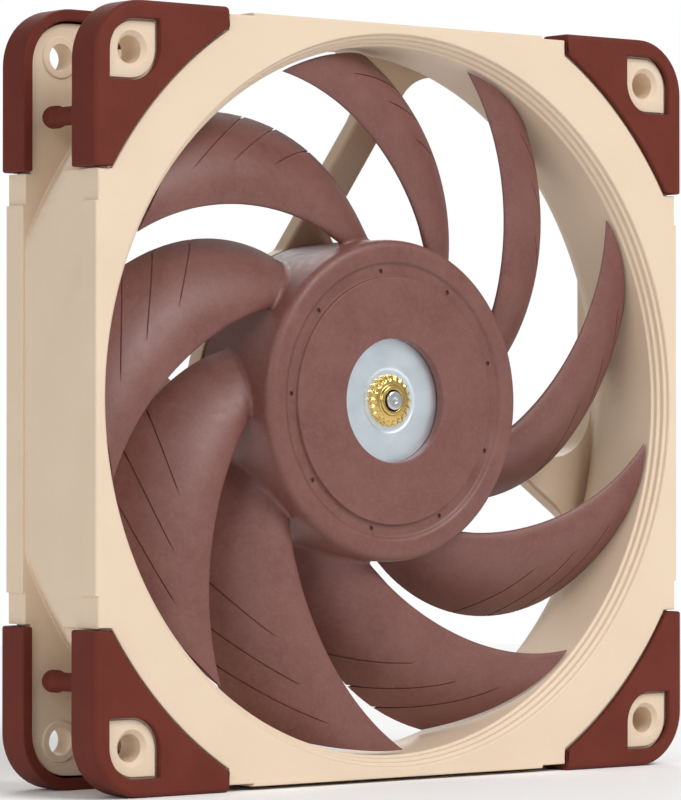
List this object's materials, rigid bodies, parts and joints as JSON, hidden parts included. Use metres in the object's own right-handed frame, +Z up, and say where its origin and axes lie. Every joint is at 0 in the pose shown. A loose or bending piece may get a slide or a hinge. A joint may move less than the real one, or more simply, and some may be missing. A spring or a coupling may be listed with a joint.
{
  "type": "case fan",
  "caption": "Square axial case fan: open-flange frame with rubber corner pads and slanted motor struts round a forward-swept, sickle-bladed impeller on a sleeve-bearing motor.",
  "frame": {"origin": "centre of the fan: on the shaft's axis, half-way between the pads' front and rear faces", "axes": "+X to the right and +Z up seen from the intake side, +Y along the shaft's axis from intake to outlet (the way the air flows)"},
  "size_m": [0.12, 0.025, 0.12],
  "materials": {
    "frame_plastic": "satin beige moulded plastic",
    "pad_rubber": "matt brown silicone rubber",
    "impeller_plastic": "satin mauve-brown fibre-filled plastic",
    "yoke_steel": "bright steel",
    "shaft_steel": "ground steel",
    "stator_steel": "stamped lamination stack",
    "brass": "turned brass",
    "sintered_bronze": "oil-filled sintered bronze",
    "magnet": "moulded ferrite",
    "copper_wire": "enamelled copper winding",
    "circuit_board": "green solder mask",
    "chip_black": "moulded chip package",
    "white_plastic": "off-white nylon",
    "label_foil": "blank printed-colour foil"
  },
  "bodies": {
    "frame": {"frame_moulding": "frame_plastic", "front_pad_top_left": "pad_rubber", "rear_pad_top_left": "pad_rubber", "front_pad_top_right": "pad_rubber", "rear_pad_top_right": "pad_rubber", "front_pad_bottom_left": "pad_rubber", "rear_pad_bottom_left": "pad_rubber", "front_pad_bottom_right": "pad_rubber", "rear_pad_bottom_right": "pad_rubber", "rear_label": "label_foil", "bearing_tube": "brass", "sleeve_bearing": "sintered_bronze", "thrust_disc": "white_plastic", "retaining_washer": "white_plastic", "stator_core": "stator_steel", "front_insulator": "white_plastic", "rear_insulator": "white_plastic", "coil_1": "copper_wire", "coil_2": "copper_wire", "coil_3": "copper_wire", "coil_4": "copper_wire", "circuit_board": "circuit_board", "driver_chip": "chip_black", "hall_sensor": "chip_black", "capacitor": "white_plastic"},
    "rotor": {"impeller": "impeller_plastic", "rotor_yoke": "yoke_steel", "magnet_ring": "magnet", "shaft_boss": "brass", "shaft": "shaft_steel"}
  },
  "joints": [
    {"name": "rotor_spin", "type": "hinge", "parent": "frame", "child": "rotor", "pos_m": [0, 0, 0], "axis": [0, -1, 0], "continuous": true}
  ]
}
